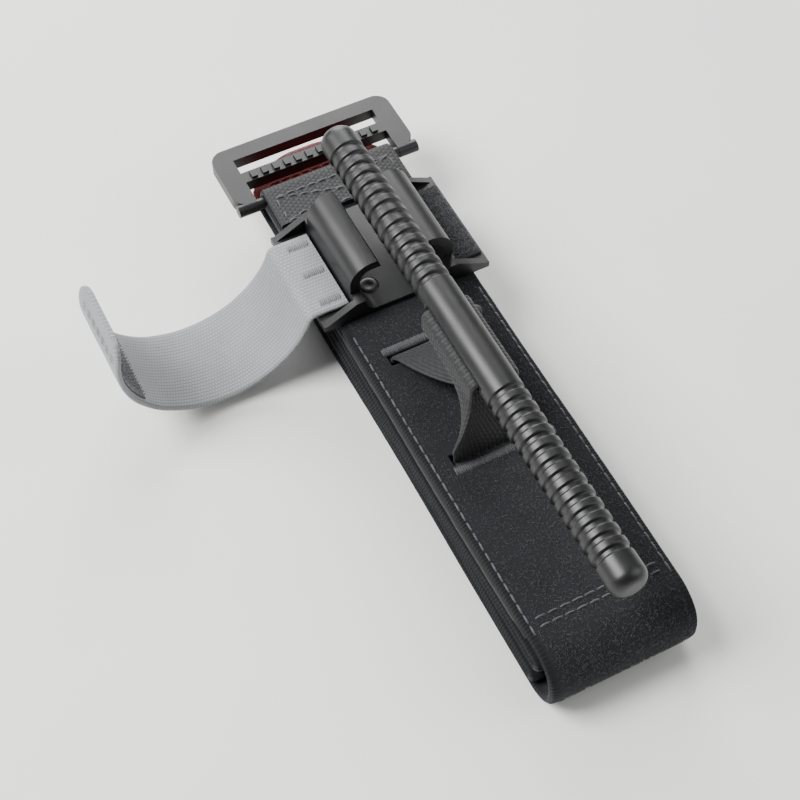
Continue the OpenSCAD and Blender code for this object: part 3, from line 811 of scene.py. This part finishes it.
patch_half = (patch_hi - patch_lo) / 2
patch_mid = (patch_hi + patch_lo) / 2
patch_sink, patch_edge = 0.15, 0.3
patch_pad = pillow("landing_patch_ground",
                   [(y, patch_half[0], 0, patch_half[2] * share)
                    for y, share in ((patch_lo[1], 0.6), (patch_lo[1] + patch_edge, 1),
                                     (patch_hi[1] - patch_edge, 1), (patch_hi[1], 0.6))],
                   loop_finish, cuts=6)
for corner in patch_pad.data.vertices:
    corner.co.x += patch_mid[0] * MM
    corner.co.z += (patch_mid[2] - patch_sink) * MM
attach(patch_pad, "windlass_half")
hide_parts("landing_patch")


def scatter(count, low, high, z, seed):
    """Random upright places on a flat patch, each with a random direction."""
    rng = random.Random(seed)
    places = []
    for _ in range(count):
        turn = rng.uniform(0, math.tau)
        places.append(((rng.uniform(low[0], high[0]), rng.uniform(low[1], high[1]), z),
                       (math.cos(turn), math.sin(turn), 0), (0, 0, 1)))
    return places


loop_thread = thread("loop yarn", "#1b1c1f", "#4a4b50")
# Real loops are of 0.04 mm filament and lie closer: these are coarse and few, to show.
patch_loops = fibres("landing_patch_loops", loop_tree,
                     scatter(1500, patch_lo + 0.4, patch_hi - 0.4, patch_hi[2] - 0.18, 5),
                     loop_thread, 0.9, 1.0, 0.05, 25, 5)
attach(patch_loops, "windlass_half")

pile_yarn = thread("band pile yarn", "#0d0e0f", "#3b3c40")
pile_half = band_w / 2 - 2.2
# Length, height, yarn radius and lean of a loop: about twice a real one's size, to show.
pile_loop = (0.75, 0.62, 0.035, 30)


def pile_on_top(count, y_from, y_to, seed, keep_out=()):
    """Random places for pile on the windlass layer, clear of what is sewn or moulded there."""
    rng = random.Random(seed)
    places = []
    while len(places) < count:
        x, y = rng.uniform(-pile_half, pile_half), rng.uniform(y_from, y_to)
        if any(abs(x) < w and a < y < b for w, a, b in keep_out):
            continue
        turn = rng.uniform(0, math.tau)
        places.append(((x, y, top_z), (math.cos(turn), math.sin(turn), 0), (0, 0, 1)))
    return places


clip_lo = span("windlass_clip")[0]
slit_rooms = [(tunnel_half + 1, y - 4.5, y + 4.5) for y in slits]
top_pile = fibres("windlass_layer_pile", loop_tree,
                  pile_on_top(6500, fold_y, clip_lo[1] - 0.5, 14, slit_rooms), pile_yarn,
                  *pile_loop, 14)
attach(top_pile, "windlass_half")

fold_rng = random.Random(15)
fold_mid_z, fold_face_r = (outer_lo[2] + outer_hi[2]) / 2, outer_mid_r + band_t / 2
fold_places = []
for _ in range(3000):
    t = math.radians(fold_rng.uniform(92, 268))
    out = np.array([0, math.cos(t), math.sin(t)])
    turn = fold_rng.uniform(0, math.tau)
    way = np.array([math.cos(turn), -math.sin(turn) * math.sin(t),
                    math.sin(turn) * math.cos(t)])
    middle = np.array([fold_rng.uniform(-pile_half, pile_half), fold_y, fold_mid_z])
    fold_places.append((middle + out * fold_face_r, way, out))
fold_pile = fibres("main_fold_pile", loop_tree, fold_places, pile_yarn, *pile_loop, 15)
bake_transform(fold_pile)

# ---------------------------------------------------------------------------------------
# Time strap: a stiff grey strap, sewn to the clip's near flange, that closes over rod and
# clip. It has a blank write-on label outside and moulded hooks inside its free end.

base_lo, base_hi = span("time_strap_base")
time_hinge = next(j for j in frame["joints"] if j["name"] == "time_strap_close")
hinge_x, clip_y, hinge_z = (c / MM for c in time_hinge["pos_m"])
open_turn = time_hinge["range_deg"][1]
time_t = base_hi[2] - base_lo[2]
time_w = base_hi[1] - base_lo[1]
arch_r = -hinge_x
time_finish = woven_nylon("grey flat-woven nylon", "#5a5d60", "#989b9d", 1.0, 0.8, 0.12, 0.7,
                          0.2, stain=0.5)


base_line = trace((base_hi[0], hinge_z), 180, [(base_hi[0] - hinge_x - 1.9,)])
strap_base = ribbon("time_strap_base_webbing", across_strap(base_line, clip_y), time_w, time_t,
                    time_finish, wave=0.03, seed=61)
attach(strap_base, "windlass_half")
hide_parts("time_strap_base")

root_r = 1.8
sweep = 180 - open_turn
root_line = trace((hinge_x + 1.9, hinge_z), 180,
                  [(0.56,), (root_r, 90 - sweep), (2.4,)], step=0.5)
arch_centre = np.array([hinge_x + arch_r * -math.cos(math.radians(sweep)),
                        hinge_z + arch_r * math.sin(math.radians(sweep))])
root_points = []
for p in root_line[0]:
    off = p - arch_centre
    pull = min(1, max(0, (hinge_z - p[1] - 0.9) / 1.2))
    fit = arch_centre + off * (arch_r / np.linalg.norm(off))
    root_points.append(p + (fit - p) * pull)
strap_root = ribbon("time_strap_root", across_strap((root_points, root_line[1]), clip_y),
                    time_w, time_t, time_finish, wave=0,
                    seed=62)
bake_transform(strap_root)

root_end = root_points[-1]
start_angle = math.degrees(math.atan2(*(root_end - arch_centre)[::-1]))
end_angle = -sweep - 180
arch_turn = (start_angle - end_angle) % 360
leg_len = 3.0


tip_r = 5


def round_tip(way, total):
    """Rounds the strap's free corners."""
    past = max(0, tip_r - (total - way))
    return 1 - (tip_r - math.sqrt(max(0, tip_r ** 2 - past ** 2))) / (time_w / 2)


arch_line = trace(root_end, start_angle - 90,
                  [(arch_r, -arch_turn / 6)] * 6 + [(leg_len,)], step=0.4)
strap_arch = ribbon("time_strap_arch", across_strap(arch_line, clip_y), time_w, time_t,
                    time_finish, wave=0.15, seed=63, taper=round_tip)
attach(strap_arch, "time_strap")
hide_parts("time_strap")


def arch_at(degrees, radius):
    """Point, heading and outward direction on the open arch, degrees back from its end."""
    t = math.radians(end_angle + degrees)
    out = np.array([math.cos(t), 0, math.sin(t)])
    return (np.array([arch_centre[0], clip_y, arch_centre[1]]) + out * radius,
            np.array([math.sin(t), 0, -math.cos(t)]), out)


def arch_ribbon(name, start, stop, radius, width, thick, finish, **kind):
    """A strip of tape on the arch between two angles."""
    stations = []
    for t in np.linspace(start, stop, 40):
        place, _, out = arch_at(t, radius)
        stations.append((place, np.array([0, 1.0, 0]), out))
    strip = ribbon(name, stations, width, thick, finish, **kind)
    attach(strip, "time_strap")
    return strip


def write_on(name, pale, worn):
    """Smooth coated tape, made to be written on: almost flat, a little soiled and creased,
    with the weave of the strap faintly telling through at 0.8 mm."""
    weave_pitch, soil_size = 0.8, 6
    finish, tree = new_finish(name)
    uv = add(tree, "ShaderNodeUVMap", uv_map="strap")
    v = add(tree, "ShaderNodeSeparateXYZ", (uv,)).outputs["Y"]
    telling = add(tree, MATH, (v, 2 * math.pi / (weave_pitch * MM)), operation="MULTIPLY")
    telling = add(tree, MATH, (telling,), operation="SINE")
    soil = add(tree, NOISE, {"Vector": uv, "Scale": 1 / (soil_size * MM), "Detail": 5.0,
                             "Roughness": 0.7})
    stain = add(tree, MATH, (soil, 2.0), operation="POWER")
    height = add(tree, MATH, (telling, 0.15, soil), operation="MULTIPLY_ADD")
    return surface(finish, (stain, pale, worn), 0.48, (height, 0.5, 0.1), {"IOR": 1.5})


label_finish = write_on("coated label tape", "#dcdcd6", "#a9a9a0")
outer_face = arch_r + time_t / 2
time_label = arch_ribbon("write_on_label", 62, 118, outer_face + 0.2, time_w - 4, 0.38,
                         label_finish, wave=0.02, seed=64)
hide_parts("time_label")

hook_finish = tape("moulded hook tape", "#232428", "#45464b", 0.8, 0.12, 0.6)
hook_ground = arch_ribbon("hook_patch_ground", 4.5, 49.5, arch_r - time_t / 2 - 0.14,
                          time_w - 3, 0.3, hook_finish, wave=0.02, seed=65)
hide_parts("strap_hook_patch")
hook_nylon = thread("hook nylon", "#2a2b2f", "#5a5b60")
hook_places = []
hook_pitch = 1.0
hook_ring = arch_r - time_t / 2 - 0.3
for row, t in enumerate(np.arange(5.5, 48.8, math.degrees(hook_pitch / hook_ring))):
    for column in np.arange(-(time_w - 5) / 2, (time_w - 4.9) / 2, hook_pitch):
        place, way, out = arch_at(t, hook_ring)
        side = column + (hook_pitch / 2 if row % 2 else 0)
        hook_places.append((place + np.array([0, side, 0]), way * (-1) ** row, -out))
strap_hooks = fibres("hook_patch_hooks", hook_tree, hook_places, hook_nylon, 0.4, 0.75, 0.09,
                     9, 6)
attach(strap_hooks, "time_strap")

# ---------------------------------------------------------------------------------------
# Buckle loop: flat webbing turned round the buckle's bar, with both ends sewn over the hem
# of the windlass layer.

buckle_pivot = next(j for j in frame["joints"] if j["name"] == "buckle_swing")["pos_m"]
bar_y, bar_z = buckle_pivot[1] / MM, buckle_pivot[2] / MM
loop_t = 1.4
loop_mid_r = (loop_hi[2] - loop_lo[2] - loop_t) / 2 - 0.03
loop_leg = bar_y - loop_lo[1]
around = trace((loop_lo[1], bar_z + loop_mid_r), 0,
               [(loop_leg,), (loop_mid_r, -180), (loop_leg,)], step=0.8)
buckle_loop = ribbon("buckle_webbing_loop", along_band(around), band_w - 0.6, loop_t,
                     strap_finish, wave=0.08, drift=0.3, seed=71)
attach(buckle_loop, "windlass_half")
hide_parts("buckle_loop")

# ---------------------------------------------------------------------------------------
# Buckle: moulded in one piece, with a round bar for the loop, a toothed cross bar that grips
# the band, and an open slot in front.

buckle = moulded_copy("slotted_buckle", "buckle", 0.45, moulded_finish)
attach(buckle, "buckle")
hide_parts("buckle")

# ---------------------------------------------------------------------------------------
# Stitching: bonded nylon thread, lock-stitched at about 2.6 mm a stitch, with close bar
# tacks where the load goes in. Each stitch dips into the cloth at both ends.

black_thread = thread("black bonded thread", "#1d1e21", "#47484d")
grey_thread = thread("grey bonded thread", "#4a4c4f", "#85888b")
red_thread = thread("dark red bonded thread", "#5e0b0e", "#9c1a1e")
stitch_len, stitch_pitch, thread_r = 2.5, 2.9, 0.26


def seam(start, end, out=(0, 0, 1)):
    """Places of a straight row of stitches."""
    start, end = np.array(start, float), np.array(end, float)
    way = (end - start) / np.linalg.norm(end - start)
    count = max(1, int(np.linalg.norm(end - start) / stitch_pitch))
    return [(start + (end - start) * (i + 0.5) / count, way, out) for i in range(count)]


def tack(centre, half, count, way=(0, 1, 0), spread=(1, 0, 0)):
    """Places of a bar tack: close parallel stitches along a bar."""
    return [(np.array(centre, float) + np.array(spread) * half * (2 * i / (count - 1) - 1),
             np.array(way, float), (0, 0, 1)) for i in range(count)]


edge_lo, edge_hi = span("band_edge_stitching")
rise = 0.1
edge_places = []
for side in (edge_lo[0] + 0.35, edge_hi[0] - 0.35):
    edge_places += seam((side, edge_lo[1], top_z + rise), (side, edge_hi[1], top_z + rise))
pocket_row = windlass_y - (plate_hi[1] - plate_lo[1]) / 2 - 1.5
for row in (pocket_row, pocket_row + 2.2):
    edge_places += seam((edge_lo[0] + 2, row, top_z + rise), (edge_hi[0] - 2, row, top_z + rise))
tack_places = []
for y in (tack_lo[1] + tack_half, tack_hi[1] - tack_half):
    tack_places += tack((0, y, top_z + rise), (tack_hi[0] - tack_lo[0]) / 2 - 0.4, 50)
root_lo, root_hi = span("base_bar_tacks")
base_places = []
for y in (root_lo[1] + 1, (root_lo[1] + root_hi[1]) / 2, root_hi[1] - 1):
    base_places += tack(((root_lo[0] + root_hi[0]) / 2, y, root_lo[2] + rise),
                        (root_hi[0] - root_lo[0]) / 2, 11)
box_lo, box_hi = span("buckle_box_stitch")
box_z = loop_hi[2] + 0.05
box_corners = [(box_lo[0], box_lo[1]), (box_hi[0], box_lo[1]), (box_hi[0], box_hi[1] - 0.6),
               (box_lo[0], box_hi[1] - 0.6)]
box_places = []
for a, b in ((0, 1), (1, 2), (2, 3), (3, 0), (0, 2), (1, 3)):
    box_places += seam((*box_corners[a], box_z), (*box_corners[b], box_z))
hem_places = []
for t in (3.2, 6.2, 50.5):
    place, way, out = arch_at(t, outer_face + 0.08)
    for side in np.arange(-(time_w - 6) / 2, (time_w - 5.9) / 2, stitch_pitch):
        hem_places.append((place + np.array([0, side, 0]), (0, 1, 0), out))
sewn_lo, sewn_hi = span("tip_stitching")
tip_places = []
for y in (sewn_lo[1] + 0.35, sewn_hi[1] - 0.35):
    tip_places += seam((sewn_lo[0], y, sewn_lo[2] + rise), (sewn_hi[0], y, sewn_lo[2] + rise))
fine_r = 0.22
for body, node, slot, name, places, finish, length, height, radius, wobble, seed in (
        ("windlass_half", "band_edge_stitching", "black_thread", "band_edge_stitches",
         edge_places, black_thread, stitch_len, 0.42, thread_r, 1.5, 8),
        ("windlass_half", "slit_bar_tacks", "black_thread", "slit_bar_tack_stitches",
         tack_places, black_thread, 2 * tack_half, 0.6, thread_r, 3, 9),
        ("windlass_half", "base_bar_tacks", "grey_thread", "base_bar_tack_stitches",
         base_places, grey_thread, 2.2, 0.5, thread_r, 3, 10),
        ("windlass_half", "buckle_box_stitch", "black_thread", "buckle_box_stitches",
         box_places, black_thread, stitch_len, 0.42, thread_r, 2, 11),
        ("time_strap", "strap_hem_stitch", "grey_thread", "strap_hem_stitches",
         hem_places, grey_thread, stitch_len, 0.4, fine_r, 2, 12),
        ("tail", "tip_stitching", "red_thread", "tip_stitches",
         tip_places, red_thread, stitch_len, 0.38, fine_r, 2, 13)):
    seam_piece = fibres(name, stitch_tree, places, finish, length, height, radius, wobble, seed)
    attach(seam_piece, body)
    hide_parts(node)

# ---------------------------------------------------------------------------------------
# Table, light and camera: a pale table under three soft lights, seen from above and beside
# the folded layers, with the buckle end away.


def table_paper(name, pale, shade):
    """Matt off-white paper, with a hardly visible tone that shifts over 60 mm."""
    finish, tree = new_finish(name)
    place = add(tree, "ShaderNodeTexCoord").outputs["Object"]
    cloud = add(tree, NOISE, {"Vector": place, "Scale": 1 / (60 * MM)})
    tone = add(tree, MIX, {"Factor": cloud, "A": linear(pale), "B": linear(shade)},
               data_type="RGBA")
    shader = add(tree, "ShaderNodeBsdfPrincipled", {"Base Color": tone, "Roughness": 0.8})
    add(tree, "ShaderNodeOutputMaterial", {"Surface": shader})
    return finish


table_half, table_z = 12.0, -0.0002
table_mesh = bpy.data.meshes.new("table")
table_mesh.from_pydata([(x * table_half, y * table_half, table_z)
                        for x, y in ((-1, -1), (1, -1), (1, 1), (-1, 1))], [], [(0, 1, 2, 3)])
table_mesh.materials.append(table_paper("matt table paper", "#ecece9", "#e2e2e0"))
table = bpy.data.objects.new("table", table_mesh)
bpy.context.scene.collection.objects.link(table)

view_azimuth, view_elevation = math.radians(-27), math.radians(56)
view_distance = 0.405
target = Vector((-14 * MM, 4 * MM, 14 * MM))
toward = Vector((math.sin(view_azimuth) * math.cos(view_elevation),
                 -math.cos(view_azimuth) * math.cos(view_elevation),
                 math.sin(view_elevation)))


def soft_light(name, place, size, watts):
    """A square soft light, aimed at the object."""
    light = bpy.data.lights.new(name, "AREA")
    light.size, light.energy = size, watts
    lamp = bpy.data.objects.new(name, light)
    lamp.location = place
    lamp.rotation_euler = (target - Vector(place)).to_track_quat("-Z", "Y").to_euler()
    bpy.context.scene.collection.objects.link(lamp)


soft_light("key", (-0.55, 0.25, 0.75), 0.5, 20)
soft_light("fill", (0.7, -0.4, 0.6), 0.8, 5)
soft_light("back", (0.25, 0.8, 0.45), 0.6, 11)

world = bpy.data.worlds.new("studio")
world.use_nodes = True
sky = world.node_tree.nodes["Background"]
sky.inputs["Color"].default_value = linear("#f2f4f7")
sky.inputs["Strength"].default_value = 0.2
bpy.context.scene.world = world

camera = bpy.data.objects.new("camera", bpy.data.cameras.new("camera"))
camera.data.lens = 75
camera.location = target + toward * view_distance
camera.rotation_euler = (target - camera.location).to_track_quat("-Z", "Y").to_euler()
camera.data.clip_start = 0.01
bpy.context.scene.collection.objects.link(camera)
bpy.context.scene.camera = camera
